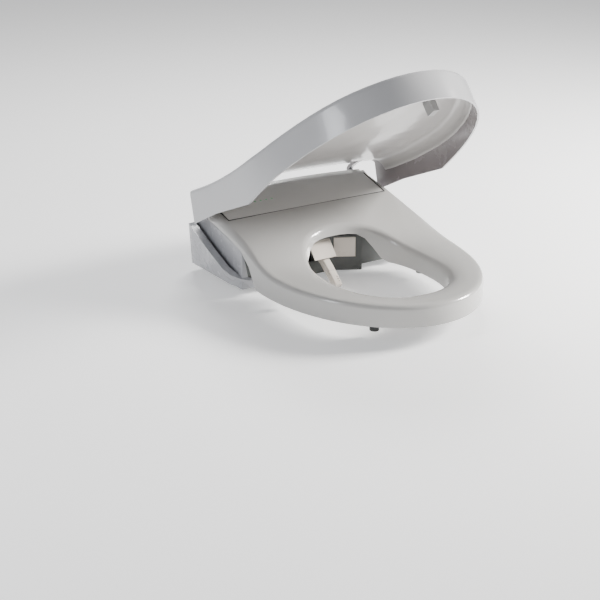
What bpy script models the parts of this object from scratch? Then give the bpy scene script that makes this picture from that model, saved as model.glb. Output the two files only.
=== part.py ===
"""Electric bidet seat: a main unit on a mounting plate, a heated seat and a soft-close lid.

Metres, +Z up, the user's front towards -Y. The origin is on the underside of the mounting plate,
midway between the two mounting bolts. "Depth" is measured forwards from the unit's rear face.
Run with: blender --background --python part.py
"""

import math

import bmesh
import bpy
import numpy as np
from mathutils import Matrix, Vector

# ---- Driving dimensions (metres) ----
BOLT_DEPTH = 0.060  # from the unit's rear face to the line of the mounting bolts
BOLT_SPREAD = 0.140  # between the bolts
GAP = 0.0003  # between pieces that touch
SLACK = 0.0005  # round moving pieces

CASE_HALF = 0.178  # half-width of the case's shoulders
CASE_FRONT = 0.172  # depth of the case's front wall
CASE_WALL = 0.003
WING_HALF = 0.200  # half-width of the case across its two side ridges
WING_FOOT = 0.184  # the same at the foot of the side walls
CASE_LIFT = 0.001  # case underside above the ceramic
TRAY_TOP = 0.0095
COVER_HALF = 0.166
COVER_FRONT = 0.108
COVER_HEIGHT = 0.108  # height of the cover's front lip
COVER_SLOPE = 0.267
COVER_THICK = 0.003
COVER_CROWN = 0.006  # rise of the cover's middle at its rear edge
LENS_RADIUS = 0.0018
NOTCH_HALF = 0.1495  # inner side of the hinge notches
NOTCH_DEPTH = 0.062
NOTCH_FLOOR = 0.096
POCKET_UNDER_EAR = 0.093  # floor of the pocket that each lid ear swings through

HINGE_DEPTH = 0.024
HINGE_HEIGHT = 0.118
PIN_RADIUS = 0.004
EAR_RADIUS = 0.0085
EAR_THICK = 0.009
SEAT_EAR_IN = 0.168  # inner side of the seat's ears
LID_EAR_IN = 0.1515  # inner side of the lid's ears

SEAT_TIP = 0.522  # depth of the seat's front end
SEAT_HALF = 0.188
SEAT_WIDEST = 0.266  # depth at which the seat is widest
ARM_HALF = 0.182  # half-width of the seat across its arms
SEAT_REAR = 0.036
SEAT_UNDERSIDE = 0.022
SEAT_WALL = 0.003
DECK_THICK = 0.017
CAVITY_REAR = 0.116  # depth where the seat's hollow starts
BOTTOM_THICK = 0.0025
HOLE_REAR = 0.188
FRONT_RIM = 0.062  # width of the seat's ring in front of the hole
HOLE_FRONT = SEAT_TIP - FRONT_RIM
HOLE_HALF = 0.101

LID_OPEN = 40.0  # degrees, as the lid stands
LID_HALF = 0.201
LID_TIP = SEAT_TIP + 0.010
LID_WIDEST = 0.240
LID_REAR = 0.044
LID_WALL = 0.0035
LID_CORNER = 0.228  # depth where the skirt's lower edge turns
PANEL_GAP = 0.0007
PANEL_THICK = 0.002

WAND_X = -0.017
WAND_WIDTH = 0.017
WAND_HEIGHT = 0.014
WAND_RADIUS = 0.340  # of the shallow arc along which the wand bends and slides
WAND_CENTER = (-0.0036, -0.2532)  # depth and height of that arc's centre
WAND_FRONT = 43.4  # degrees down the arc at the wand's front end
WAND_SWEEP = 18.5  # degrees of arc that the wand covers
TIP_SWEEP = 5.0
DOOR_TOP = 0.064
DOOR_HEIGHT = 0.038
DOOR_THICK = 0.002
NOZZLE_DOOR_X = -0.0187
NOZZLE_DOOR_WIDTH = 0.046
NOZZLE_DOOR_TILT = 41.0  # degrees that the nozzle door stands open above the wand
DRYER_DOOR_WIDTH = 0.040
DRYER_TURN = 28.0  # degrees that the dryer's wall is turned in plan
DRYER_START = (0.0085, CASE_FRONT)  # x and depth where that wall starts
DRYER_WALL = 0.052  # its length

PLATE_HALF = 0.095
PLATE_THICK = 0.006
PLATE_FRONT = 0.100
PLATE_REAR = 0.030
BOLT_RADIUS = 0.004
BOLT_LENGTH = 0.062
CERAMIC_THICK = 0.026
HEAD_SIDE = 0.018
HEAD_THICK = 0.0028
POCKET_FLOOR = 0.0026

PORT_HEIGHT = 0.030  # of what passes through the rear wall
INLET_X = -0.110
INLET_RADIUS = 0.008
DRAIN_X = -0.070
DRAIN_RADIUS = 0.010
CORD_X = 0.120
CORD_RADIUS = 0.009
BUTTON_FLOOR = 0.1775
BUTTON_TRAVEL = 0.003
BUTTON_DEPTH = (0.060, 0.084)
BUTTON_RISE = (0.012, 0.026)

AROUND = 56  # stations round the seat and the lid


def y_at(depth):
    return BOLT_DEPTH - depth


HINGE = (0.0, y_at(HINGE_DEPTH), HINGE_HEIGHT)


# ---- Scene, materials and small helpers ----
def clear_scene():
    for obj in list(bpy.data.objects):
        bpy.data.objects.remove(obj, do_unlink=True)


def collection(name):
    made = bpy.data.collections.new(name)
    bpy.context.scene.collection.children.link(made)
    return made


def material(name, color, roughness=0.3, metallic=0.0):
    made = bpy.data.materials.new(name)
    made.use_nodes = True
    shader = made.node_tree.nodes["Principled BSDF"]
    shader.inputs["Base Color"].default_value = (*color, 1.0)
    shader.inputs["Roughness"].default_value = roughness
    shader.inputs["Metallic"].default_value = metallic
    made.diffuse_color = (*color, 1.0)
    return made


clear_scene()
PARTS = collection("electric_bidet_seat")
CUTTERS = collection("cutters")
SHELL = material("shell_plastic", (0.78, 0.78, 0.76), 0.22)
INNER = material("inner_plastic", (0.55, 0.56, 0.57), 0.45)
WARM = material("nozzle_plastic", (0.72, 0.69, 0.62), 0.35)
RUBBER = material("grey_rubber", (0.25, 0.25, 0.25), 0.7)
STEEL = material("bright_steel", (0.62, 0.62, 0.62), 0.3, 1.0)
BRASS = material("brass", (0.60, 0.45, 0.22), 0.35, 1.0)
BOARD = material("board_green", (0.05, 0.22, 0.10), 0.5)
HEATER = material("heater_foil", (0.65, 0.62, 0.55), 0.4, 0.8)
LENS = material("indicator_lens", (0.30, 0.55, 0.35), 0.15)


def link(name, mesh, look, pivot=(0.0, 0.0, 0.0)):
    """Object for a mesh drawn in world coordinates, with its origin moved to the pivot."""
    mesh.transform(Matrix.Translation(-Vector(pivot)))
    obj = bpy.data.objects.new(name, mesh)
    obj.location = pivot
    if look is None:
        CUTTERS.objects.link(obj)
        obj.hide_render = True
        obj.display_type = "WIRE"
    else:
        PARTS.objects.link(obj)
        mesh.materials.append(look)
        mesh.shade_smooth()
        mesh.set_sharp_from_angle(angle=math.radians(35))
    return obj


def mesh_from(bm, name):
    bmesh.ops.recalc_face_normals(bm, faces=bm.faces)
    if bm.calc_volume(signed=True) < 0:
        bmesh.ops.reverse_faces(bm, faces=bm.faces)
    mesh = bpy.data.meshes.new(name)
    bm.to_mesh(mesh)
    bm.free()
    return mesh


def box(name, look, x, depth, z, round_by=0.0, pivot=(0.0, 0.0, 0.0)):
    """Block from ranges of x, depth and z."""
    bm = bmesh.new()
    bmesh.ops.create_cube(bm, size=1.0)
    size = Vector((x[1] - x[0], depth[1] - depth[0], z[1] - z[0]))
    middle = Vector(((x[0] + x[1]) / 2, y_at((depth[0] + depth[1]) / 2), (z[0] + z[1]) / 2))
    bmesh.ops.scale(bm, vec=size, verts=bm.verts)
    bmesh.ops.translate(bm, vec=middle, verts=bm.verts)
    obj = link(name, mesh_from(bm, name), look, pivot)
    if round_by:
        bevel(obj, round_by)
    return obj


def bevel(obj, width, segments=2, angle=40):
    made = obj.modifiers.new("rounded", "BEVEL")
    made.width = width
    made.segments = segments
    made.limit_method = "ANGLE"
    made.angle_limit = math.radians(angle)


def rod(name, look, start, end, radius, sides=20, pivot=(0.0, 0.0, 0.0), tip_radius=None):
    """Cylinder or cone between two points."""
    start, end = Vector(start), Vector(end)
    along = end - start
    bm = bmesh.new()
    bmesh.ops.create_cone(
        bm,
        cap_ends=True,
        segments=sides,
        radius1=radius,
        radius2=radius if tip_radius is None else tip_radius,
        depth=along.length,
    )
    turn = Vector((0, 0, 1)).rotation_difference(along).to_matrix().to_4x4()
    bm.transform(Matrix.Translation((start + end) / 2) @ turn)
    return link(name, mesh_from(bm, name), look, pivot)


def prism(name, look, outline, x, pivot=(0.0, 0.0, 0.0)):
    """Side profile of (depth, z) points, extruded across a range of x."""
    bm = bmesh.new()
    verts = [bm.verts.new((x[0], y_at(d), z)) for d, z in outline]
    face = bm.faces.new(verts)
    moved = bmesh.ops.extrude_face_region(bm, geom=[face])["geom"]
    shift = Vector((x[1] - x[0], 0, 0))
    bmesh.ops.translate(bm, vec=shift, verts=[v for v in moved if isinstance(v, bmesh.types.BMVert)])
    return link(name, mesh_from(bm, name), look, pivot)


def combine(obj, other, operation):
    """Boolean of one object by another, which is kept as a hidden helper."""
    if other.name not in CUTTERS.objects:
        PARTS.objects.unlink(other)
        CUTTERS.objects.link(other)
        other.hide_render = True
        other.display_type = "WIRE"
    made = obj.modifiers.new(operation.lower() + "_" + other.name, "BOOLEAN")
    made.operation = operation
    made.object = other


def cut(obj, *others):
    for other in others:
        combine(obj, other, "DIFFERENCE")


def join(obj, *others):
    for other in others:
        combine(obj, other, "UNION")


def span(side, low, high):
    """A range of x on one side, in rising order."""
    return tuple(sorted((side * low, side * high)))


def circle(center, radius, count, start=0.0, end=360.0):
    """Points of an arc in (depth, z), in degrees from straight forwards."""
    full = end - start == 360.0
    steps = count if full else count - 1
    angles = [math.radians(start + (end - start) * i / steps) for i in range(count)]
    return [(center[0] + radius * math.cos(a), center[1] + radius * math.sin(a)) for a in angles]


# ---- Main unit ----
def cover_height(depth):
    return COVER_HEIGHT + COVER_SLOPE * (COVER_FRONT - depth)


# depth and height of the ridge along a side wall's top
RIDGE = [(0.002, 0.077), (0.014, 0.082), (0.030, 0.080), (0.060, 0.067), (0.100, 0.051),
         (0.140, 0.035), (0.160, 0.027), (0.172, 0.022), (0.178, 0.018)]
# half-widths of the ridge and of the wall's foot at the same depths
WING_PLAN = [(0.190, 0.186), (0.197, 0.186), (WING_HALF, 0.185), (WING_HALF, WING_FOOT), (WING_HALF, 0.183),
             (0.199, 0.182), (0.193, 0.174), (0.181, 0.160), (0.166, 0.150)]
WING_CORE = 0.147  # the wing's inner side, inside the case
BELOW = -0.010  # where the case's forms start, before its foot is trimmed level
LIP_WIDTH = 0.013
GROOVE_DROP = 0.009


def wing(side):
    """Side wing: an outward-leaning wall with a broad lip and a groove behind it."""
    bm = bmesh.new()
    rows = []
    for (depth, height), (top, foot) in zip(RIDGE, WING_PLAN):
        section = [
            (WING_CORE, BELOW), (foot, BELOW), (foot, CASE_LIFT), (top, height),
            (top - LIP_WIDTH, height + 0.001), (top - LIP_WIDTH - 0.004, height - GROOVE_DROP),
            (WING_CORE, height - GROOVE_DROP),
        ]
        rows.append([bm.verts.new((side * x, y_at(depth), z)) for x, z in section])
    for near, far in zip(rows, rows[1:]):
        for i in range(len(near)):
            j = (i + 1) % len(near)
            bm.faces.new((near[i], near[j], far[j], far[i]))
    bm.faces.new(rows[0])
    bm.faces.new(rows[-1][::-1])
    return link("wing_form" + ("_left" if side < 0 else "_right"), mesh_from(bm, "wing"), INNER)


REAR_TOP = [(0.0, 0.088), (0.008, 0.108), (0.013, 0.124), (0.022, cover_height(0.022))]
DECK_LINE = [(0.1095, 0.0865), (0.160, 0.077), (0.166, 0.0745), (CASE_FRONT, 0.068)]
SHOULDER_LINE = [(0.0, 0.088), (0.004, 0.096), (0.050, 0.1005), (0.108, 0.089), (0.160, 0.077),
                 (0.166, 0.0745), (CASE_FRONT, 0.066)]


def on_dryer_wall(along):
    """World point at the doors' top height, this far along the turned wall."""
    turn = math.radians(DRYER_TURN)
    x, depth = DRYER_START[0] + along * math.cos(turn), DRYER_START[1] + along * math.sin(turn)
    return Vector((x, y_at(depth), DOOR_TOP))


DOORS = [("nozzle", Vector((NOZZLE_DOOR_X, y_at(CASE_FRONT), DOOR_TOP)), NOZZLE_DOOR_WIDTH, 0.0),
         ("dryer", on_dryer_wall(DRYER_WALL / 2 - 0.003), DRYER_DOOR_WIDTH, math.radians(DRYER_TURN))]


def dryer_wall():
    """Wedge in the case's front that turns the dryer's outlet towards the user's middle."""
    start, end = on_dryer_wall(0.0), on_dryer_wall(DRYER_WALL)
    back = y_at(CASE_FRONT - CASE_WALL / 2)
    plan = [(start.x, back), (start.x, start.y), (end.x, end.y), (end.x + 0.003, end.y), (end.x + 0.003, back)]
    bm = bmesh.new()
    face = bm.faces.new([bm.verts.new((x, y, BELOW)) for x, y in plan])
    moved = bmesh.ops.extrude_face_region(bm, geom=[face])["geom"]
    shift = Vector((0, 0, DOOR_TOP + 0.0027 - BELOW))
    bmesh.ops.translate(bm, vec=shift, verts=[v for v in moved if isinstance(v, bmesh.types.BMVert)])
    return link("dryer_wall_form", mesh_from(bm, "dryer_wall"), INNER)


def local_box(name, look, width, y, z):
    """Block centred across its width, in its own axes."""
    bm = bmesh.new()
    bmesh.ops.create_cube(bm, size=1.0)
    bmesh.ops.scale(bm, vec=Vector((width, y[1] - y[0], z[1] - z[0])), verts=bm.verts)
    bmesh.ops.translate(bm, vec=Vector((0, (y[0] + y[1]) / 2, (z[0] + z[1]) / 2)), verts=bm.verts)
    return link(name, mesh_from(bm, name), look)


def upper_case():
    core_line = REAR_TOP + [(COVER_FRONT + 0.001, cover_height(COVER_FRONT))] + DECK_LINE
    outline = [(0.0, BELOW)] + core_line + [(CASE_FRONT, BELOW)]
    core = prism("upper_case", SHELL, outline, (-COVER_HALF - 0.001, COVER_HALF + 0.001))
    shoulder = prism("shoulder_form", INNER, [(0.0, BELOW)] + SHOULDER_LINE + [(CASE_FRONT, BELOW)],
                     (-CASE_HALF, CASE_HALF))
    bevel(core, 0.003)
    bevel(shoulder, 0.004)
    join(core, shoulder, wing(-1), wing(1), dryer_wall())
    cut(core, box("foot_trim", None, (-0.3, 0.3), (-0.1, 0.3), (-0.1, CASE_LIFT)))
    return core


def hollow_case(case):
    """Open the case from below, keeping walls all round, and cut what passes through it."""
    wall = CASE_WALL
    rear_inside = [(wall, -0.02), (wall, 0.087), (0.011, 0.108), (0.016, 0.120)]
    low = [(wall, -0.03), (wall, 0.086), (0.050, 0.092), (0.108, 0.0855), (0.160, 0.0735),
           (CASE_FRONT - wall, 0.063), (CASE_FRONT - wall, -0.03)]
    cut(case, prism("low_hollow", None, low, (-CASE_HALF + wall, CASE_HALF - wall)))
    under = COVER_THICK + 0.0003 + wall
    high = rear_inside + [(0.024, cover_height(0.024) - under), (0.105, cover_height(0.105) - under),
                          (0.1062, 0.0855), (CASE_FRONT - wall, 0.063), (CASE_FRONT - wall, -0.02)]
    cut(case, prism("high_hollow", None, high, (-NOTCH_HALF + wall, NOTCH_HALF - wall)))
    recess = [(0.0215, 0.160), (0.0215, cover_height(0.0215) - COVER_THICK - GAP),
              (COVER_FRONT + 0.0003, cover_height(COVER_FRONT + 0.0003) - COVER_THICK - GAP),
              (COVER_FRONT + 0.0003, 0.160)]
    cut(case, prism("cover_recess", None, recess, (-COVER_HALF - GAP, COVER_HALF + GAP)))
    for side in (-1, 1):
        cut(case, box(f"hinge_notch_{side}", None, span(side, NOTCH_HALF, 0.215),
                      (-0.010, NOTCH_DEPTH), (NOTCH_FLOOR, 0.170)))
        cut(case, box(f"ear_pocket_{side}", None, span(side, LID_EAR_IN - SLACK, LID_EAR_IN + EAR_THICK + SLACK),
                      (-0.010, 0.036), (POCKET_UNDER_EAR, 0.170)))
        cut(case, rod(f"pin_hole_{side}", None, (side * 0.140, y_at(HINGE_DEPTH), HINGE_HEIGHT),
                      (side * 0.156, y_at(HINGE_DEPTH), HINGE_HEIGHT), PIN_RADIUS + GAP))
    for name, place, width, yaw in DOORS:
        opening = local_box(f"{name}_doorway", None, width, (-0.008, 0.030), (-DOOR_HEIGHT, 0.0))
        opening.location = place
        opening.rotation_euler.z = -yaw
        cut(case, opening)
    ports = (("inlet", INLET_X, INLET_RADIUS + GAP), ("cord", CORD_X, CORD_RADIUS + GAP),
             ("drain", DRAIN_X, DRAIN_RADIUS + SLACK))
    for name, x, radius in ports:
        cut(case, rod(f"{name}_hole", None, (x, y_at(-0.02), PORT_HEIGHT), (x, y_at(0.010), PORT_HEIGHT), radius))
    cut(case, box("button_pocket", None, (BUTTON_FLOOR, 0.215), BUTTON_DEPTH, BUTTON_RISE))
    cut(case, *plate_recess("case"))


def plate_recess(tag):
    """The T-shaped channel in which the unit slides on its mounting plate, open to the rear."""
    ease = 0.0004
    lower = box(f"{tag}_channel_low", None, (-PLATE_HALF + 0.007 - ease, PLATE_HALF - 0.007 + ease),
                (-0.020, PLATE_FRONT + ease), (-0.010, PLATE_THICK - 0.001))
    upper = box(f"{tag}_channel_high", None, (-PLATE_HALF - ease, PLATE_HALF + ease),
                (-0.020, PLATE_FRONT + ease), (PLATE_THICK * 0.5 - ease, PLATE_THICK + ease))
    return lower, upper


def lower_case():
    inset = CASE_WALL + GAP
    tray = box("lower_case", INNER, (-CASE_HALF + inset, CASE_HALF - inset),
               (inset, CASE_FRONT - inset), (CASE_LIFT, TRAY_TOP))
    cut(tray, *plate_recess("tray"))


def cover_top(x, depth):
    """Height of the cover's surface: it arches towards its rear edge."""
    rise = COVER_CROWN * (COVER_FRONT - depth) / (COVER_FRONT - HINGE_DEPTH)
    return cover_height(depth) + rise * (1 - (x / COVER_HALF) ** 2)


def top_cover():
    bm = bmesh.new()
    depths = [0.022, 0.024, 0.040, 0.060, 0.084, COVER_FRONT - 0.002, COVER_FRONT]
    columns = [COVER_HALF * i / 7 for i in range(-7, 8)]
    upper, lower = [], []
    for depth in depths:
        dip = 0.0012 if depth in (depths[0], depths[-1]) else 0.0
        upper.append([bm.verts.new((x, y_at(depth), cover_top(x, depth) - dip)) for x in columns])
        lower.append([bm.verts.new((x, y_at(depth), cover_height(depth) - COVER_THICK)) for x in columns])
    close_plate(bm, upper, lower)
    cover = link("top_cover", mesh_from(bm, "top_cover"), SHELL)
    for number in range(5):
        x, depth = -0.102 + 0.0115 * number, 0.070
        height = cover_top(x, depth)
        foot, head = (x, y_at(depth), height - 0.012), (x, y_at(depth), height + 0.010)
        cut(cover, rod(f"lens_hole_{number + 1}", None, foot, head, LENS_RADIUS + GAP, 12))
        foot, head = (x, y_at(depth), height - 0.003), (x, y_at(depth), height + 0.0004)
        rod(f"indicator_lens_{number + 1}", LENS, foot, head, LENS_RADIUS, 12)


def close_plate(bm, upper, lower):
    """Faces of a plate between two grids of points with the same layout."""
    for grid in (upper, lower):
        for near, far in zip(grid, grid[1:]):
            for i in range(len(near) - 1):
                bm.faces.new((near[i], near[i + 1], far[i + 1], far[i]))
    rims = [(upper[0], lower[0]), (upper[-1], lower[-1]),
            ([row[0] for row in upper], [row[0] for row in lower]),
            ([row[-1] for row in upper], [row[-1] for row in lower])]
    for high, low in rims:
        for i in range(len(high) - 1):
            bm.faces.new((high[i], high[i + 1], low[i + 1], low[i]))


# ---- Seat ----
DECK_PROFILE = [(0.030, 0.1225), (0.069, 0.1165), (0.108, 0.108), (0.145, 0.100), (0.185, 0.090),
                (0.215, 0.079), (0.245, 0.0685), (0.280, 0.0615), (0.330, 0.059), (0.522, 0.0575)]
DECK_CROWN = 0.0014
HOLE_MIDDLE = (HOLE_REAR + HOLE_FRONT) / 2


def blend(value, low, high):
    t = min(1.0, max(0.0, (value - low) / (high - low)))
    return t * t * (3 - 2 * t)


def deck_height(depth, x=SEAT_HALF):
    """Height of the seat's top, rounded at the profile's corners and crowned across its width."""
    near = [np.interp(depth + step, *zip(*DECK_PROFILE)) for step in (-0.012, -0.006, 0, 0.006, 0.012)]
    return float(np.mean(near)) + DECK_CROWN * (1 - (x / SEAT_HALF) ** 2)


def seat_half(depth):
    if depth > SEAT_WIDEST:
        t = (depth - SEAT_WIDEST) / (SEAT_TIP - SEAT_WIDEST)
        return SEAT_HALF * math.sqrt(max(0.0, 1 - t * t))
    return ARM_HALF + (SEAT_HALF - ARM_HALF) * blend(depth, 0.150, SEAT_WIDEST)


def in_seat(x, depth):
    return SEAT_REAR <= depth <= SEAT_TIP and abs(x) <= seat_half(depth)


def in_hole(x, depth):
    along = abs(depth - HOLE_MIDDLE) / ((HOLE_FRONT - HOLE_REAR) / 2)
    return along**2.4 + (abs(x) / HOLE_HALF) ** 2.4 <= 1


def reach(inside, angle):
    """Distance from the hole's middle to an outline, in a direction given from straight forwards."""
    low, high = 0.0, 0.6
    for _ in range(40):
        middle = (low + high) / 2
        at = (middle * math.sin(angle), HOLE_MIDDLE + middle * math.cos(angle))
        low, high = (middle, high) if inside(*at) else (low, middle)
    return low


def seat_angles():
    corner = math.atan2(ARM_HALF, SEAT_REAR - HOLE_MIDDLE)
    even = [2 * math.pi * i / AROUND for i in range(AROUND)]
    clear = [a for a in even if min(abs(a - corner), abs(a - (2 * math.pi - corner))) > 0.03]
    return sorted(clear + [corner, 2 * math.pi - corner])


def edge_radius(depth):
    return 0.014 + (0.008 - 0.014) * blend(depth, 0.150, 0.260)


def seat_floor(x, depth):
    """Height of the seat's underside: thin over the main unit, and down beside it in front."""
    thin = deck_height(depth, x) - DECK_THICK
    return thin + (SEAT_UNDERSIDE - thin) * blend(depth, 0.196, 0.236)


def seat_surface(x, depth, share):
    """Height of the sitting surface, dished towards the hole: share runs from the hole outwards."""
    dish = 0.006 * blend(depth, 0.200, 0.280) * (1 - min(1.0, share / 0.6)) ** 2
    return deck_height(depth, x) - dish


def quarter(radius, distance):
    """How far a rounded edge lies below the flat, at a distance inside the edge."""
    inner = max(0.0, radius - max(0.0, distance))
    return radius - math.sqrt(max(0.0, radius * radius - inner * inner))


def seat_section(angle, outer_in, hole_in, top_down, floor, rounding):
    """One cross-section of the seat, as (x, depth, z) points from the hole over the top and back."""
    start, end = reach(in_hole, angle) + hole_in, reach(in_seat, angle) - outer_in
    length, across = end - start, (math.sin(angle), math.cos(angle))
    hole_round = 0.010
    flat = [0.011 + (length - 0.025) * share for share in (0.2, 0.4, 0.6, 0.8)]
    rim = [length - inset for inset in (0.014, 0.0085, 0.004, 0.0012, 0.0)]
    over, under = [0.0, 0.0015, 0.005, 0.011] + flat + rim, [0.0] + flat + [length]
    if not rounding:
        over = under = [length * step / 10 for step in range(11)]
    points = []
    for step in over:
        x, depth = (start + step) * across[0], HOLE_MIDDLE + (start + step) * across[1]
        height = seat_surface(x, depth, step / length) - top_down
        if rounding:
            height -= quarter(edge_radius(depth) - top_down, length - step)
            height -= quarter(hole_round - top_down, step)
        points.append((x, depth, height))
    for step in under[::-1]:
        x, depth = (start + step) * across[0], HOLE_MIDDLE + (start + step) * across[1]
        points.append((x, depth, floor(x, depth)))
    return points


def seat_loft(name, look, outer_in, hole_in, top_down, floor, rounding=True, thick=None):
    """Closed ring lofted through the seat's sections; with thick given, a plate that deep on the floor."""
    bm = bmesh.new()
    rows = []
    for angle in seat_angles():
        section = seat_section(angle, outer_in, hole_in, top_down, floor, rounding)
        if thick:
            half = len(section) // 2
            section = [(x, depth, floor(x, depth) + thick) for x, depth, _ in section[:half]] + section[half:]
        rows.append([bm.verts.new((x, y_at(depth), z)) for x, depth, z in section])
    for near, far in zip(rows, rows[1:] + rows[:1]):
        for i in range(len(near)):
            j = (i + 1) % len(near)
            bm.faces.new((near[i], near[j], far[j], far[i]))
    return link(name, mesh_from(bm, name), look, HINGE)


def behind(name, depth):
    return box(name, None, (-0.3, 0.3), (-0.1, depth), (-0.1, 0.3))


def seat_ear(side):
    """Hinge ear that joins a seat arm to the hinge pin."""
    arc = circle((HINGE_DEPTH, HINGE_HEIGHT), EAR_RADIUS, 12, 80, 280)
    outline = arc + [(0.060, deck_height(0.060) - DECK_THICK + 0.002), (0.060, deck_height(0.060) - 0.006)]
    return prism(f"seat_ear_{side}", INNER, outline, span(side, SEAT_EAR_IN, SEAT_EAR_IN + EAR_THICK), HINGE)


def seat():
    top = seat_loft("seat_top", SHELL, 0.0, 0.0, 0.0, seat_floor)
    cavity = seat_loft("seat_cavity", None, SEAT_WALL, SEAT_WALL, SEAT_WALL,
                       lambda x, depth: seat_floor(x, depth) - 0.010)
    cut(cavity, behind("arm_block", CAVITY_REAR))
    cut(top, box("cover_opening", None, (-COVER_HALF - 0.0016, COVER_HALF + 0.0016),
                 (-0.1, COVER_FRONT + 0.0018), (-0.1, 0.3)))
    cut(top, cavity)
    for side in (-1, 1):
        join(top, seat_ear(side))
        cut(top, pin_bore(f"seat_bore_{side}", side, SEAT_EAR_IN))
    seam = SEAT_WALL + GAP
    floor_plate = seat_loft("seat_bottom", INNER, seam, seam, 0.0, seat_floor, False, BOTTOM_THICK)
    cut(floor_plate, behind("bottom_block", CAVITY_REAR + GAP))
    heater = seat_loft("seat_heater", HEATER, 0.022, 0.022, 0.0045,
                       lambda x, depth: deck_height(depth, x) - 0.0125, rounding=False)
    cut(heater, behind("heater_block", CAVITY_REAR + 0.004))
    for tag, x, depth in (("rear", 0.140, 0.262), ("front", 0.085, SEAT_TIP - 0.082)):
        for side, name in ((-1, "left"), (1, "right")):
            rod(f"seat_bumper_{tag}_{name}", RUBBER, (side * x, y_at(depth), 0.0),
                (side * x, y_at(depth), SEAT_UNDERSIDE - GAP), 0.008, 16, HINGE, 0.009)


def pin_bore(name, side, inner):
    return rod(name, None, (side * (inner - 0.004), HINGE[1], HINGE_HEIGHT),
               (side * (inner + EAR_THICK + 0.0015), HINGE[1], HINGE_HEIGHT), PIN_RADIUS + GAP)


def hinge_hardware():
    for side, name in ((-1, "left"), (1, "right")):
        rod(f"hinge_pin_{name}", STEEL, (side * 0.141, HINGE[1], HINGE_HEIGHT),
            (side * (SEAT_EAR_IN + EAR_THICK), HINGE[1], HINGE_HEIGHT), PIN_RADIUS)
    rod("lid_damper", INNER, (-0.1407, HINGE[1], HINGE_HEIGHT), (-0.100, HINGE[1], HINGE_HEIGHT), 0.0055)
    rod("seat_damper", INNER, (0.100, HINGE[1], HINGE_HEIGHT), (0.1407, HINGE[1], HINGE_HEIGHT), 0.0055)


# ---- Lid, drawn closed and turned open about its hinge ----
LID_TOP_EDGE = [(0.024, 0.145), (0.096, 0.1225), (0.167, 0.105), (0.235, 0.093), (0.300, 0.0855),
                (0.357, 0.083), (0.410, 0.0825), (0.470, 0.083), (0.532, 0.082)]
LID_LOW_EDGE = [(0.022, 0.0905), (LID_CORNER, 0.0262), (0.300, 0.028), (0.532, 0.030)]
LID_CROWN = 0.006
LID_ROUND = 0.008
LID_REAR_SLANT = 0.022


def lid_stations():
    """Outline points (x, depth) from the rear left, round the front, to the rear right."""
    rear = [LID_REAR, 0.070, 0.110, 0.150, 0.190, LID_CORNER]
    turns = [math.pi * i / (AROUND // 2) for i in range(AROUND // 2 + 1)]
    arc = [(-LID_HALF * math.cos(a), LID_WIDEST + (LID_TIP - LID_WIDEST) * math.sin(a)) for a in turns]
    left = [(-LID_HALF, depth) for depth in rear]
    return left + arc + [(-x, depth) for x, depth in left[::-1]]


def lid_edge(depth):
    return float(np.interp(depth, *zip(*LID_TOP_EDGE)))


def lid_column(x, depth):
    """Points (x, depth, z) from the lid's spine out over its rim and down its skirt."""
    spine = min(depth, LID_WIDEST)
    reach_out = math.hypot(x, depth - spine)
    middle, edge = lid_edge(spine), lid_edge(depth)
    low = float(np.interp(depth, *zip(*LID_LOW_EDGE)))
    points = []
    for share in (0.0, 0.3, 0.6, 0.8, 1 - LID_ROUND / reach_out, 1 - 0.0024 / reach_out, 1.0):
        drop = quarter(LID_ROUND, (1 - share) * reach_out)
        height = middle + (edge - middle) * share + LID_CROWN * (1 - share**2) - drop
        points.append((x * share, spine + (depth - spine) * share, height))
    points.append((x, depth, (points[-1][2] + low) / 2))
    points.append((x, depth, low))
    slant = LID_REAR_SLANT * (1 - blend(depth, LID_REAR, 0.110))
    top = points[-3][2]
    return [(px, pd - slant * max(0.0, (top - pz)) / (top - low), pz) for px, pd, pz in points]


def lid_shell():
    bm = bmesh.new()
    spine = {}
    columns = []
    for x, depth in lid_stations():
        points = lid_column(x, depth)
        key = round(points[0][1], 6)
        if key not in spine:
            spine[key] = bm.verts.new((0.0, y_at(points[0][1]), points[0][2]))
        columns.append([spine[key]] + [bm.verts.new((px, y_at(pd), pz)) for px, pd, pz in points[1:]])
    for near, far in zip(columns, columns[1:]):
        for i in range(len(near) - 1):
            corners = [near[i], near[i + 1], far[i + 1], far[i]]
            bm.faces.new([v for n, v in enumerate(corners) if v not in corners[:n]])
    mesh = mesh_from(bm, "lid_shell")
    lid = turned(link("lid_shell", mesh, SHELL, HINGE))
    shell = lid.modifiers.new("wall", "SOLIDIFY")
    shell.thickness = LID_WALL
    shell.offset = -1.0
    shell.use_even_offset = True
    for side in (-1, 1):
        join(lid, turned(lid_ear(side)))
        cut(lid, turned(pin_bore_at_hinge(f"lid_bore_{side}", side)))


def turned(obj):
    """Swing a piece that was drawn on the closed lid to where the lid stands."""
    obj.rotation_euler.x = -math.radians(LID_OPEN)
    return obj


def lid_ear(side):
    """Hook from the hinge pin, up behind the cover's rear edge and forwards into the lid."""
    barrel = circle((HINGE_DEPTH, HINGE_HEIGHT), EAR_RADIUS, 14, 115, -195)
    hook = [(0.0120, 0.126), (0.0120, 0.134), (0.0165, 0.1405), (0.026, 0.1425), (0.040, 0.1405),
            (0.060, 0.1345), (0.060, 0.1320), (0.044, 0.1345), (0.028, 0.1360), (0.0215, 0.1345),
            (0.0204, 0.1300)]
    return prism(f"lid_ear_{side}", INNER, barrel + hook, span(side, LID_EAR_IN, LID_EAR_IN + EAR_THICK), HINGE)


def pin_bore_at_hinge(name, side):
    return rod(name, None, (side * (LID_EAR_IN - 0.001), HINGE[1], HINGE_HEIGHT),
               (side * (LID_EAR_IN + EAR_THICK + 0.001), HINGE[1], HINGE_HEIGHT),
               PIN_RADIUS + GAP, pivot=HINGE)


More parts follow.
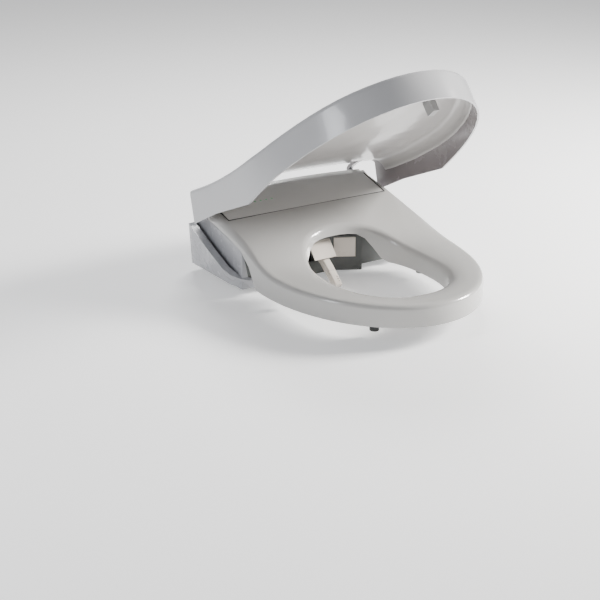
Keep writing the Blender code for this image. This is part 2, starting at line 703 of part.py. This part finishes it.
def lid_under(x, depth):
    """Height of the closed lid's underside above a point."""
    spine = min(depth, LID_WIDEST)
    along = (depth - spine) / (LID_TIP - LID_WIDEST)
    share = math.hypot(x / LID_HALF, along)
    rim = spine + (depth - spine) / share if share else spine
    height = lid_edge(spine) + (lid_edge(rim) - lid_edge(spine)) * share + LID_CROWN * (1 - share**2)
    return height - LID_WALL


def lid_inner_panel():
    """Second skin under the rear half of the lid's top."""
    bm = bmesh.new()
    shares = [-0.75, -0.6, -0.3, 0.0, 0.3, 0.6, 0.75]
    depths = [0.070, 0.110, 0.150, 0.190, LID_CORNER]
    grids = []
    for down in (PANEL_GAP, PANEL_GAP + PANEL_THICK):
        grids.append([[bm.verts.new((s * LID_HALF, y_at(d), lid_under(s * LID_HALF, d) - down))
                       for s in shares] for d in depths])
    close_plate(bm, *grids)
    turned(link("lid_inner_panel", mesh_from(bm, "lid_inner_panel"), SHELL, HINGE))


def lid_bumpers():
    for side, name in ((-1, "left"), (1, "right")):
        x, depth = 0.088, 0.404
        top = lid_under(x, depth) - 0.0012
        block = box(f"lid_bumper_{name}", RUBBER, span(side, x - 0.006, x + 0.006),
                    (depth - 0.010, depth + 0.010), (deck_height(depth) + 0.0015, top), pivot=HINGE)
        turned(block)


# ---- Wand and doors ----
def on_arc(degrees, out=0.0, x=WAND_X):
    """World point on the wand's arc, this far outside its centre line."""
    angle, radius = math.radians(degrees), WAND_RADIUS + out
    depth, height = WAND_CENTER[0] + radius * math.sin(angle), WAND_CENTER[1] + radius * math.cos(angle)
    return Vector((x, y_at(depth), height))


WAND_PIVOT = Vector((WAND_X, y_at(WAND_CENTER[0]), WAND_CENTER[1]))


def arc_bar(name, look, front, back, width, height, round_by):
    """Bar with rounded edges bent along the wand's arc, between two angles."""
    ring = rounded_rectangle(width, height, round_by)
    steps = 8
    bm = bmesh.new()
    rows = []
    for i in range(steps + 1):
        angle = front + (back - front) * i / steps
        rows.append([bm.verts.new(on_arc(angle, out, WAND_X + across)) for across, out in ring])
    for near, far in zip(rows, rows[1:]):
        for i in range(len(ring)):
            j = (i + 1) % len(ring)
            bm.faces.new((near[i], near[j], far[j], far[i]))
    bm.faces.new(rows[0])
    bm.faces.new(rows[-1][::-1])
    return link(name, mesh_from(bm, name), look, WAND_PIVOT)


def rounded_rectangle(width, height, radius):
    points = []
    corners = [(1, 1, 0), (-1, 1, 90), (-1, -1, 180), (1, -1, 270)]
    for right, up, start in corners:
        middle = (right * (width / 2 - radius), up * (height / 2 - radius))
        for step in range(4):
            angle = math.radians(start + 30 * step)
            points.append((middle[0] + radius * math.cos(angle), middle[1] + radius * math.sin(angle)))
    return points


def wand():
    split = WAND_FRONT - TIP_SWEEP
    seam = math.degrees(GAP / WAND_RADIUS)
    arc_bar("wand_body", WARM, split - seam, WAND_FRONT - WAND_SWEEP, WAND_WIDTH, WAND_HEIGHT, 0.004)
    tip = arc_bar("wand_tip", WARM, WAND_FRONT, split, WAND_WIDTH, WAND_HEIGHT, 0.004)
    for number in range(3):
        angle = WAND_FRONT - 1.2 - 0.75 * number
        low, high = (on_arc(angle, WAND_HEIGHT / 2 + out, WAND_X + 0.0035) for out in (-0.003, 0.003))
        cut(tip, rod(f"spray_hole_{number + 1}", None, low, high, 0.0012, 10, WAND_PIVOT))


FLAP_IN = 0.0018  # hinge barrel's centre behind the wall and under the doorway's top
FLAP_REACH = DOOR_HEIGHT - FLAP_IN - GAP - SLACK


def flap(name, place, width, yaw, tilt):
    """A door that hangs from a barrel along its top edge, turned out by an angle."""
    span_x = width - 2 * SLACK
    plate = local_box(f"{name}_door", WARM, span_x, (-DOOR_THICK / 2, DOOR_THICK / 2), (-FLAP_REACH, 0.0))
    barrel = rod(f"{name}_barrel", WARM, (-span_x / 2, 0, 0), (span_x / 2, 0, 0), FLAP_IN - GAP, 16)
    inward = Vector((math.sin(yaw), math.cos(yaw), 0.0)) * FLAP_IN
    for piece in (plate, barrel):
        piece.location = place + inward - Vector((0, 0, FLAP_IN + GAP))
        piece.rotation_euler = (-math.radians(tilt), 0.0, -yaw)
    join(plate, barrel)


# ---- Inside the unit ----
def insides():
    floor = TRAY_TOP + GAP
    box("water_heater", INNER, (-0.140, -0.085), (0.020, 0.076), (floor, 0.075), 0.004)
    box("valve_block", BRASS, (-0.140, -0.095), (0.082, 0.140), (floor, 0.045), 0.003)
    box("main_board", BOARD, (0.128, 0.1296), (0.020, 0.150), (floor, 0.066))
    rod("dryer_fan", INNER, (0.086, y_at(0.110), floor), (0.086, y_at(0.110), 0.050), 0.024, 32)
    duct_x = (0.0185, 0.0585)
    duct = box("dryer_duct", INNER, duct_x, (0.118, CASE_FRONT - 0.0055), (floor, DOOR_TOP - 0.003))
    cut(duct, box("duct_mouth", None, (duct_x[0] + 0.002, duct_x[1] - 0.002), (0.124, 0.200),
                  (DOOR_TOP - DOOR_HEIGHT, DOOR_TOP - 0.005)))
    wand_guide(floor)
    inner = WAND_X + WAND_WIDTH / 2 + GAP
    rod("wand_motor", STEEL, (inner, y_at(0.090), 0.030), (inner + 0.020, y_at(0.090), 0.030), 0.013, 24)


def wand_guide(floor):
    """Curved ramp under the wand, standing on the tray."""
    tops = [on_arc(12.0 + 2.0 * i, -WAND_HEIGHT / 2 - 0.0004) for i in range(9)]
    line = [(y_at(top.y), top.z) for top in tops]
    half = WAND_WIDTH / 2 - 0.001
    prism("wand_guide", INNER, [(line[0][0], floor)] + line + [(line[-1][0], floor)],
          (WAND_X - half, WAND_X + half))


def rear_fittings():
    y_in, y_out = y_at(0.0195), y_at(-0.014)
    inlet = rod("water_inlet", STEEL, (INLET_X, y_out, PORT_HEIGHT), (INLET_X, y_in, PORT_HEIGHT), INLET_RADIUS)
    cut(inlet, rod("inlet_bore", None, (INLET_X, y_at(-0.020), PORT_HEIGHT),
                   (INLET_X, y_at(0.002), PORT_HEIGHT), 0.005))
    rod("cord_gland", RUBBER, (CORD_X, y_at(-0.008), PORT_HEIGHT), (CORD_X, y_at(0.012), PORT_HEIGHT), CORD_RADIUS)
    plug = rod("drain_plug", INNER, (DRAIN_X, y_at(-0.007), PORT_HEIGHT),
               (DRAIN_X, y_at(0.018), PORT_HEIGHT), DRAIN_RADIUS, 24, (DRAIN_X, y_at(0.0), PORT_HEIGHT))
    cut(plug, box("coin_slot", None, (DRAIN_X - 0.0075, DRAIN_X + 0.0075), (-0.012, -0.0045),
                  (PORT_HEIGHT - 0.001, PORT_HEIGHT + 0.001)))


def release_button():
    ease = 0.0004
    box("release_button", INNER, (BUTTON_FLOOR + BUTTON_TRAVEL + 0.0007, 0.1915),
        (BUTTON_DEPTH[0] + ease, BUTTON_DEPTH[1] - ease), (BUTTON_RISE[0] + ease, BUTTON_RISE[1] - ease), 0.0008)


# ---- Mounting plate and its fasteners ----
def mounting():
    step = 0.007
    depths = (PLATE_REAR, PLATE_FRONT)
    plate = box("mounting_plate", INNER, (-PLATE_HALF + step, PLATE_HALF - step), depths, (0.0, PLATE_THICK))
    flange = box("plate_flange", INNER, (-PLATE_HALF, PLATE_HALF), depths, (PLATE_THICK * 0.5, PLATE_THICK))
    join(plate, flange)
    for side, name in ((-1, "left"), (1, "right")):
        x = side * BOLT_SPREAD / 2
        half = HEAD_SIDE / 2 + 0.0006
        cut(plate, box(f"bolt_pocket_{name}", None, (x - half, x + half),
                       (BOLT_DEPTH - half, BOLT_DEPTH + half), (POCKET_FLOOR, 0.020)))
        cut(plate, rod(f"bolt_hole_{name}", None, (x, 0.0, -0.010), (x, 0.0, 0.010), BOLT_RADIUS + GAP))
        fasteners(x, name)


def fasteners(x, name):
    half, base = HEAD_SIDE / 2, POCKET_FLOOR + GAP
    head = box(f"mounting_bolt_{name}", STEEL, (x - half, x + half),
               (BOLT_DEPTH - half, BOLT_DEPTH + half), (base, base + HEAD_THICK))
    join(head, rod(f"bolt_shank_{name}", STEEL, (x, 0.0, base + 0.001), (x, 0.0, -BOLT_LENGTH), BOLT_RADIUS))
    under = -CERAMIC_THICK
    washer = rod(f"cone_washer_{name}", RUBBER, (x, 0.0, under - 0.014), (x, 0.0, under), 0.015, 24,
                 tip_radius=0.008)
    cut(washer, rod(f"washer_hole_{name}", None, (x, 0.0, -0.2), (x, 0.0, 0.1), BOLT_RADIUS + GAP))
    nut_top = under - 0.014 - GAP
    nut = rod(f"wing_nut_{name}", STEEL, (x, 0.0, nut_top - 0.012), (x, 0.0, nut_top), 0.010, 24)
    join(nut, box(f"nut_wings_{name}", STEEL, (x - 0.020, x + 0.020), (BOLT_DEPTH - 0.0025, BOLT_DEPTH + 0.0025),
                  (nut_top - 0.016, nut_top - 0.004)))
    cut(nut, rod(f"nut_hole_{name}", None, (x, 0.0, -0.2), (x, 0.0, 0.1), BOLT_RADIUS + GAP))


def main():
    hollow_case(upper_case())
    lower_case()
    top_cover()
    seat()
    hinge_hardware()
    lid_shell()
    lid_inner_panel()
    lid_bumpers()
    wand()
    for (name, place, width, yaw), tilt in zip(DOORS, (NOZZLE_DOOR_TILT, 0.0)):
        flap(name, place, width, yaw, tilt)
    insides()
    rear_fittings()
    release_button()
    mounting()


main()
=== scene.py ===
"""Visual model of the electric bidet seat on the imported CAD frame: materials, fine detail, light and camera."""

import math

import bmesh
import bpy
import numpy as np
from mathutils import Matrix, Vector


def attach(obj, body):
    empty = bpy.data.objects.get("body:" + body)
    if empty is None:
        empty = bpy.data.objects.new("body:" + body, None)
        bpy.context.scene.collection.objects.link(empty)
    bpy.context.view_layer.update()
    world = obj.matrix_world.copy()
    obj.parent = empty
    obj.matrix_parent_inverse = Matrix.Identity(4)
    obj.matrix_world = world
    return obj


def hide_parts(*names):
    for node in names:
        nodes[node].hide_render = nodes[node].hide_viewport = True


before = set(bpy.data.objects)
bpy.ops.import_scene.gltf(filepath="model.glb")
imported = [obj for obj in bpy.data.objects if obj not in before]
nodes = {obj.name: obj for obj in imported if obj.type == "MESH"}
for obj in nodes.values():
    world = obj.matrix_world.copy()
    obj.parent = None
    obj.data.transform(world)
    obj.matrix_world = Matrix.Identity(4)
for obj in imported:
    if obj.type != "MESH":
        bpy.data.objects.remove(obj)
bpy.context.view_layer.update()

# ---- Driving dimensions (metres), as in the CAD ----
BOLT_DEPTH = 0.060  # from the unit's rear face to the origin
HINGE_DEPTH = 0.024
HINGE = Vector((0.0, 0.036, 0.118))
LID_OPEN = 40.0  # degrees, as the lid stands
LID_HALF = 0.201
LID_TIP = 0.532
LID_WIDEST = 0.240
LID_WALL = 0.0035
LID_CROWN = 0.006
LID_TOP_EDGE = [(0.024, 0.145), (0.096, 0.1225), (0.167, 0.105), (0.235, 0.093), (0.300, 0.0855),
                (0.357, 0.083), (0.410, 0.0825), (0.470, 0.083), (0.532, 0.082)]
COVE = 0.020  # size of the soft inner corner between the lid's top and its skirt
COVE_DEPTH = 0.024
COVE_LIP = 0.0016  # width of the ledge that ends the corner
LEDGE_DROP = 0.0008
LINER_GAP = 0.0008  # between the liner and the lid's underside
LINER_SIDE_GAP = 0.0004  # between the liner's edge and the skirt
LINER_STEPS = 72  # along the rounded front of the liner
COVER_HALF = 0.166
COVER_FRONT = 0.108
COVER_HEIGHT = 0.108  # height of the cover's front lip
COVER_SLOPE = 0.267
COVER_CROWN = 0.006  # rise of the cover's middle at its rear edge
GAP_SHADE_HALF = 0.0006  # half-width of the strip of painted shade round the cover
GAP_SHADE_RISE = 0.0012  # its top above the cover
SIDE_SLOT = 0.0008  # from the cover's side to the middle of its slot
FRONT_SLOT = 0.0009  # the same at the cover's front
HIDDEN_HALF = 0.150  # half-width of the part of the case under the seat and the cover, which gets painted shade
SHOULDER_HALF = 0.172
SHOULDER_HEIGHT = 0.070
WELD = 0.00002
CREASE = 32.0  # degrees between two faces that keep a sharp edge
NOISE_RANGE = (0.3, 0.7)  # where most of the noise texture's values lie
FLOOR = -0.0130  # height of the floor, which the mounting bolts reach through


# ---- Camera, at the viewing angle of the picture ----
def add_camera():
    yaw, pitch = math.radians(32.06), math.radians(21.46)
    forward = Vector((math.sin(yaw) * math.cos(pitch), math.cos(yaw) * math.cos(pitch), -math.sin(pitch)))
    data = bpy.data.cameras.new("camera")
    data.lens = 83.75
    data.sensor_width = 36.0
    camera = bpy.data.objects.new("camera", data)
    camera.location = (-1.296, -2.0868, 0.8734)
    camera.rotation_euler = forward.to_track_quat("-Z", "Y").to_euler()
    bpy.context.scene.collection.objects.link(camera)
    bpy.context.scene.camera = camera


# ---- Light and floor ----
def add_area(name, place, target, size, power, color):
    data = bpy.data.lights.new(name, "AREA")
    data.shape = "RECTANGLE"
    data.size, data.size_y = size
    data.energy = power
    data.color = color
    light = bpy.data.objects.new(name, data)
    light.location = place
    light.rotation_euler = (Vector(target) - Vector(place)).to_track_quat("-Z", "Y").to_euler()
    bpy.context.scene.collection.objects.link(light)


def add_studio():
    world = bpy.data.worlds.new("studio")
    world.use_nodes = True
    background = world.node_tree.nodes["Background"]
    background.inputs["Color"].default_value = (0.96, 0.97, 1.0, 1.0)
    background.inputs["Strength"].default_value = 0.30
    bpy.context.scene.world = world
    middle = (0.0, -0.15, 0.08)
    add_area("key", (1.80, -0.90, 0.95), middle, (0.6, 0.6), 150.0, (1.0, 0.985, 0.96))
    add_area("top", (0.6, 1.0, 2.0), middle, (1.0, 0.7), 40.0, (1.0, 1.0, 1.0))
    add_area("fill", (-1.9, -0.3, 0.95), middle, (0.40, 1.0), 14.0, (0.92, 0.95, 1.0))


def add_floor():
    bm = bmesh.new()
    bmesh.ops.create_grid(bm, x_segments=2, y_segments=2, size=6.0)
    bmesh.ops.translate(bm, vec=(0, 0, FLOOR), verts=bm.verts)
    floor = mesh_object("studio_floor", bm)
    look = bpy.data.materials.new("floor_paint")
    look.use_nodes = True
    shader = look.node_tree.nodes["Principled BSDF"]
    shader.inputs["Base Color"].default_value = (0.95, 0.95, 0.95, 1.0)
    shader.inputs["Roughness"].default_value = 0.8
    shader.inputs["Emission Color"].default_value = (1.0, 1.0, 1.0, 1.0)
    shader.inputs["Emission Strength"].default_value = 0.35
    floor.data.materials.append(look)


# ---- Materials ----
def new_material(name):
    look = bpy.data.materials.new(name)
    look.use_nodes = True
    tree = look.node_tree
    return look, tree, tree.nodes["Principled BSDF"]


def object_noise(tree, scale, detail=4.0, stretch=(1.0, 1.0, 1.0)):
    """Noise fixed to the object's own coordinates, in metres."""
    place = tree.nodes.new("ShaderNodeTexCoord")
    mapping = tree.nodes.new("ShaderNodeMapping")
    mapping.inputs["Scale"].default_value = stretch
    noise = tree.nodes.new("ShaderNodeTexNoise")
    noise.inputs["Scale"].default_value = scale
    noise.inputs["Detail"].default_value = detail
    tree.links.new(place.outputs["Object"], mapping.inputs["Vector"])
    tree.links.new(mapping.outputs["Vector"], noise.inputs["Vector"])
    return noise.outputs["Fac"]


def ramp(tree, source, ends, limits=NOISE_RANGE):
    """Stretch the part of a value that lies within limits over the range between two ends."""
    made = tree.nodes.new("ShaderNodeMapRange")
    made.inputs["From Min"].default_value = limits[0]
    made.inputs["From Max"].default_value = limits[1]
    made.inputs["To Min"].default_value = ends[0]
    made.inputs["To Max"].default_value = ends[1]
    tree.links.new(source, made.inputs["Value"])
    return made.outputs["Result"]


def mix_colors(tree, factor, first, second):
    mix = tree.nodes.new("ShaderNodeMix")
    mix.data_type = "RGBA"
    tree.links.new(factor, mix.inputs["Factor"])
    for socket, value in ((mix.inputs["A"], first), (mix.inputs["B"], second)):
        if isinstance(value, tuple):
            socket.default_value = (*value, 1.0)
        else:
            tree.links.new(value, socket)
    return mix.outputs["Result"]


def scaled(color, factor):
    return tuple(min(1.0, channel * factor) for channel in color)


def moulded(name, color, gloss, texture, grain=2600.0, tint=0.03, crevice_shade=0.45, coat=0.0):
    """Moulded plastic: cloudy colour, painted shade in crevices, fine grain and uneven gloss."""
    look, tree, shader = new_material(name)
    cloud = ramp(tree, object_noise(tree, 9.0), (0.0, 1.0))
    base = mix_colors(tree, cloud, scaled(color, 1 - tint), scaled(color, 1 + tint))
    # Painted shade: ambient occlusion darkens the colour in crevices and in gaps between parts.
    crevice = tree.nodes.new("ShaderNodeAmbientOcclusion")
    crevice.samples = 6
    crevice.inputs["Distance"].default_value = 0.008
    open_share = ramp(tree, crevice.outputs["AO"], (0.0, 1.0), (0.25, 0.85))
    crevice_shaded = mix_colors(tree, open_share, scaled(color, crevice_shade), base)
    tree.links.new(crevice_shaded, shader.inputs["Base Color"])
    rough = ramp(tree, object_noise(tree, 38.0, 6.0), (gloss * 0.86, gloss * 1.18))
    tree.links.new(rough, shader.inputs["Roughness"])
    bump = tree.nodes.new("ShaderNodeBump")
    bump.inputs["Strength"].default_value = texture
    bump.inputs["Distance"].default_value = 0.0002
    tree.links.new(object_noise(tree, grain, 3.0), bump.inputs["Height"])
    tree.links.new(bump.outputs["Normal"], shader.inputs["Normal"])
    shader.inputs["Coat Weight"].default_value = coat
    shader.inputs["Coat Roughness"].default_value = 0.07
    return look


def metal(name, color, gloss, stretch, scratch=0.25):
    """Turned or brushed metal: streaks across one axis, and duller patches."""
    look, tree, shader = new_material(name)
    streaks = object_noise(tree, 300.0, 5.0, stretch)
    tone = ramp(tree, streaks, (0.0, 1.0))
    base = mix_colors(tree, tone, scaled(color, 0.86), scaled(color, 1.08))
    tree.links.new(base, shader.inputs["Base Color"])
    rough = ramp(tree, streaks, (gloss * 0.7, gloss * 1.3))
    tree.links.new(rough, shader.inputs["Roughness"])
    bump = tree.nodes.new("ShaderNodeBump")
    bump.inputs["Strength"].default_value = scratch
    bump.inputs["Distance"].default_value = 0.0001
    tree.links.new(streaks, bump.inputs["Height"])
    tree.links.new(bump.outputs["Normal"], shader.inputs["Normal"])
    shader.inputs["Metallic"].default_value = 1.0
    return look


def lamp_lens(name):
    """Green translucent lens with a cloudy glow."""
    look, tree, shader = new_material(name)
    glow = ramp(tree, object_noise(tree, 420.0, 2.0), (0.0, 1.0))
    tone = mix_colors(tree, glow, (0.22, 0.45, 0.27), (0.36, 0.62, 0.40))
    tree.links.new(tone, shader.inputs["Base Color"])
    tree.links.new(ramp(tree, glow, (0.10, 0.2), (0.0, 1.0)), shader.inputs["Roughness"])
    shader.inputs["Transmission Weight"].default_value = 0.25
    shader.inputs["Emission Color"].default_value = (0.25, 0.6, 0.3, 1.0)
    shader.inputs["Emission Strength"].default_value = 0.15
    return look


def board_look(name):
    """Circuit board: lacquered green with copper-toned tracks."""
    look, tree, shader = new_material(name)
    place = tree.nodes.new("ShaderNodeTexCoord")
    bricks = tree.nodes.new("ShaderNodeTexBrick")
    bricks.inputs["Scale"].default_value = 140.0
    bricks.inputs["Color1"].default_value = (0.03, 0.17, 0.07, 1.0)
    bricks.inputs["Color2"].default_value = (0.05, 0.22, 0.10, 1.0)
    bricks.inputs["Mortar"].default_value = (0.20, 0.30, 0.10, 1.0)
    tree.links.new(place.outputs["Object"], bricks.inputs["Vector"])
    tree.links.new(bricks.outputs["Color"], shader.inputs["Base Color"])
    rough = ramp(tree, object_noise(tree, 60.0), (0.3, 0.5))
    tree.links.new(rough, shader.inputs["Roughness"])
    return look


SHELL = moulded("shell_plastic", (0.44, 0.433, 0.418), 0.20, 0.03, tint=0.015, coat=0.4)
# Painted light: the cover is the shell's plastic made lighter, standing in for light that the lid's shade takes
# away.
COVER_LIT = moulded("cover_plastic_painted_light", (0.64, 0.632, 0.61), 0.20, 0.03, tint=0.015, coat=0.4)
LID_LOOK = moulded("lid_plastic", (0.46, 0.46, 0.47), 0.20, 0.03, tint=0.015, coat=0.4)
LINER = moulded("liner_plastic", (0.45, 0.435, 0.425), 0.22, 0.03, tint=0.015, coat=0.3)
# Painted shade with a painted reflection: the lid's plastic, darker and mauve, for the inside of its skirt.
SKIRT_SHADE = moulded("skirt_painted_shade", (0.235, 0.212, 0.218), 0.25, 0.03, tint=0.015, coat=0.3)
WING = moulded("wing_plastic", (0.37, 0.372, 0.39), 0.26, 0.02, tint=0.02, coat=0.2)
INNER = moulded("inner_plastic", (0.25, 0.255, 0.255), 0.40, 0.18)
# Painted shade for the case's faces under the seat, the cover and the lid.
UNDER_SEAT_SHADE = moulded("under_seat_painted_shade", (0.060, 0.064, 0.060), 0.35, 0.18)
SIDE = moulded("plate_plastic", (0.32, 0.33, 0.34), 0.5, 0.2)
WARM = moulded("nozzle_plastic", (0.66, 0.60, 0.53), 0.30, 0.06, tint=0.02, coat=0.15)
# Dark rubber for the bumpers, washers and gland; also the colour of the strip of painted shade round the cover.
RUBBER_AND_GAP_SHADE = moulded("grey_rubber", (0.05, 0.05, 0.05), 0.68, 0.35, grain=1500.0, tint=0.08)
BUMPER = moulded("pale_rubber", (0.36, 0.36, 0.36), 0.60, 0.25, grain=1500.0, tint=0.05)
STEEL = metal("bright_steel", (0.62, 0.62, 0.62), 0.26, (1.0, 12.0, 12.0))
BRASS = metal("cast_brass", (0.60, 0.45, 0.22), 0.36, (3.0, 3.0, 3.0), 0.4)
FOIL = metal("heater_foil", (0.65, 0.62, 0.55), 0.38, (1.0, 1.0, 6.0), 0.5)
BOARD = board_look("circuit_board")
LENS = lamp_lens("indicator_lens")

LOOKS = {
    SHELL: ("seat_top",),
    COVER_LIT: ("top_cover",),
    WING: ("upper_case",),
    LID_LOOK: ("lid_shell", "lid_inner_panel"),
    INNER: ("lower_case", "seat_bottom", "lid_damper", "seat_damper", "wand_guide", "water_heater", "drain_plug",
            "dryer_fan", "dryer_duct", "release_button"),
    SIDE: ("mounting_plate",),
    WARM: ("wand_body", "wand_tip", "nozzle_door", "dryer_door"),
    BUMPER: ("lid_bumper_left", "lid_bumper_right"),
    RUBBER_AND_GAP_SHADE: ("seat_bumper_front_left", "seat_bumper_front_right", "seat_bumper_rear_left", "seat_bumper_rear_right",
             "cone_washer_left", "cone_washer_right", "cord_gland"),
    STEEL: ("hinge_pin_left", "hinge_pin_right", "wand_motor", "water_inlet", "mounting_bolt_left",
            "mounting_bolt_right", "wing_nut_left", "wing_nut_right"),
    BRASS: ("valve_block",),
    FOIL: ("seat_heater",),
    BOARD: ("main_board",),
    LENS: tuple(f"indicator_lens_{number}" for number in range(1, 6)),
}


def finish_node(obj, look):
    """Give a CAD node its material, and soften its edges."""
    obj.data.materials.clear()
    obj.data.materials.append(look)
    obj.data.shade_smooth()
    weld = obj.modifiers.new("weld", "WELD")
    weld.merge_threshold = WELD
    split = obj.modifiers.new("creases", "EDGE_SPLIT")
    split.split_angle = math.radians(CREASE)
    obj.modifiers.new("flats", "WEIGHTED_NORMAL").keep_sharp = True


def paint_shade_under_seat(obj):
    """Painted shade: give the case's faces under the seat, the cover and the lid a dark tone, standing in for the
    shadow in the gaps.
    """
    obj.data.materials.append(UNDER_SEAT_SHADE)
    for face in obj.data.polygons:
        across, height = abs(face.center.x), face.center.z
        under_shoulder = height > SHOULDER_HEIGHT and across < SHOULDER_HALF
        face.material_index = 1 if across < HIDDEN_HALF or under_shoulder else 0


def shade_skirt_inside(obj):
    """Give the inner faces of the lid's skirt a darker mauve tone than the rest of the lid: painted shade, with a
    painted reflection as its mauve tint.
    """
    obj.data.materials.append(SKIRT_SHADE)
    back = Matrix.Rotation(math.radians(LID_OPEN), 3, "X")
    for face in obj.data.polygons:
        place, facing = back @ (face.center - HINGE) + HINGE, back @ face.normal
        depth = BOLT_DEPTH - place.y
        outward = Vector((place.x, -max(0.0, depth - LID_WIDEST), 0.0))
        face.material_index = 1 if facing.dot(outward) < -0.3 * outward.length else 0


# ---- Pieces ----
def mesh_object(name, bm):
    bmesh.ops.recalc_face_normals(bm, faces=bm.faces)
    mesh = bpy.data.meshes.new(name)
    bm.to_mesh(mesh)
    bm.free()
    mesh.shade_smooth()
    made = bpy.data.objects.new(name, mesh)
    bpy.context.scene.collection.objects.link(made)
    return made


def opened(point):
    """Swing a point (x, depth, z) of the closed lid to where the lid stands, in the row frame."""
    place = Vector((point[0], BOLT_DEPTH - point[1], point[2]))
    turn = Matrix.Rotation(-math.radians(LID_OPEN), 3, "X")
    return turn @ (place - HINGE) + HINGE


def lid_edge(depth):
    return float(np.interp(depth, *zip(*LID_TOP_EDGE)))


def lid_under(x, depth):
    """Height of the closed lid's underside above a point."""
    spine = min(depth, LID_WIDEST)
    share = math.hypot(x / LID_HALF, (depth - spine) / (LID_TIP - LID_WIDEST))
    rim = spine + (depth - spine) / share if share else spine
    height = lid_edge(spine) + (lid_edge(rim) - lid_edge(spine)) * share + LID_CROWN * (1 - share**2)
    return height - LID_WALL


def liner_column(x, depth):
    """Points from the lid's spine out along its underside, round a soft corner and down to a lip."""
    spine = min(depth, LID_WIDEST)
    reach = math.hypot(x, depth - spine)
    corner = 1 - (LID_WALL + COVE) / reach

    def at(share):
        return x * share, spine + (depth - spine) * share

    points = []
    for share in (0.0, 0.25 * corner, 0.5 * corner, 0.75 * corner, 0.92 * corner):
        px, pd = at(share)
        points.append((px, pd, lid_under(px, pd) - LINER_GAP))
    for step in range(9):
        angle = math.radians(90.0 * step / 8)
        px, pd = at(1 - (LID_WALL + LINER_SIDE_GAP + COVE_LIP + COVE * (1 - math.sin(angle))) / reach)
        points.append((px, pd, lid_under(px, pd) - LINER_GAP - COVE_DEPTH * (1 - math.cos(angle))))
    foot = points[-1][2] - LEDGE_DROP
    points.append((*at(1 - (LID_WALL + LINER_SIDE_GAP) / reach), foot))
    return points


def add_liner():
    """Inner skin of the lid, with a soft corner that ends in a narrow ledge on the skirt."""
    rear = [(LID_HALF, depth) for depth in (0.070, 0.090, 0.110, 0.130, 0.150, 0.170, 0.190, 0.215)]
    turns = [math.pi * i / LINER_STEPS for i in range(LINER_STEPS + 1)]
    arc = [(LID_HALF * math.cos(a), LID_WIDEST + (LID_TIP - LID_WIDEST) * math.sin(a)) for a in turns]
    bm = bmesh.new()
    rows = []
    for x, depth in rear + arc + [(-x, depth) for x, depth in rear[::-1]]:
        rows.append([bm.verts.new(opened(point)) for point in liner_column(x, depth)])
    for near, far in zip(rows, rows[1:]):
        for i in range(len(near) - 1):
            bm.faces.new((near[i], near[i + 1], far[i + 1], far[i]))
    bmesh.ops.remove_doubles(bm, verts=bm.verts, dist=WELD)
    liner = mesh_object("lid_liner", bm)
    liner.data.materials.append(LINER)
    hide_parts("lid_inner_panel")
    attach(liner, "lid")


def gap_shade_height(x, depth):
    """Top of the dark strip of painted shade that fills the slot round the cover."""
    rise = COVER_CROWN * max(0.0, COVER_FRONT - depth) / (COVER_FRONT - HINGE_DEPTH)
    cover = COVER_HEIGHT + COVER_SLOPE * (COVER_FRONT - depth) + rise * (1 - (x / COVER_HALF) ** 2)
    return cover + GAP_SHADE_RISE


def add_gap_shade_strip():
    """Dark strip of painted shade in the slot between the cover and the seat, along both sides and the front."""
    side, front = COVER_HALF + SIDE_SLOT, COVER_FRONT + FRONT_SLOT
    path = [(side, 0.040 + 0.004 * i) for i in range(17)] + [(side - 0.0004, front)]
    path += [(side - side * i / 12, front) for i in range(1, 13)]
    path += [(-x, depth) for x, depth in path[-2::-1]]
    section = [(-1.0, -0.0030), (-1.0, -0.0003), (-0.5, 0.0), (0.5, 0.0), (1.0, -0.0003), (1.0, -0.0030)]
    bm = bmesh.new()
    rows = []
    for i, (x, depth) in enumerate(path):
        before, after = path[max(0, i - 1)], path[min(len(path) - 1, i + 1)]
        along = Vector((after[0] - before[0], after[1] - before[1])).normalized()
        across = Vector((-along.y, along.x)) * GAP_SHADE_HALF
        top = gap_shade_height(x, min(depth, COVER_FRONT))
        rows.append([
            bm.verts.new((x + across.x * share, BOLT_DEPTH - depth - across.y * share, top + z))
            for share, z in section
        ])
    for near, far in zip(rows, rows[1:]):
        for i in range(len(near)):
            j = (i + 1) % len(near)
            bm.faces.new((near[i], near[j], far[j], far[i]))
    bm.faces.new(rows[0])
    bm.faces.new(rows[-1][::-1])
    gap_shade_strip = mesh_object("cover_gap_shade_strip", bm)
    # Painted shade: a dark strip standing in for the shadow in the slot round the cover.
    gap_shade_strip.data.materials.append(RUBBER_AND_GAP_SHADE)
    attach(gap_shade_strip, "unit")


add_camera()
add_studio()
add_floor()
for look, names in LOOKS.items():
    for name in names:
        finish_node(nodes[name], look)
paint_shade_under_seat(nodes["upper_case"])
shade_skirt_inside(nodes["lid_shell"])
add_liner()
add_gap_shade_strip()
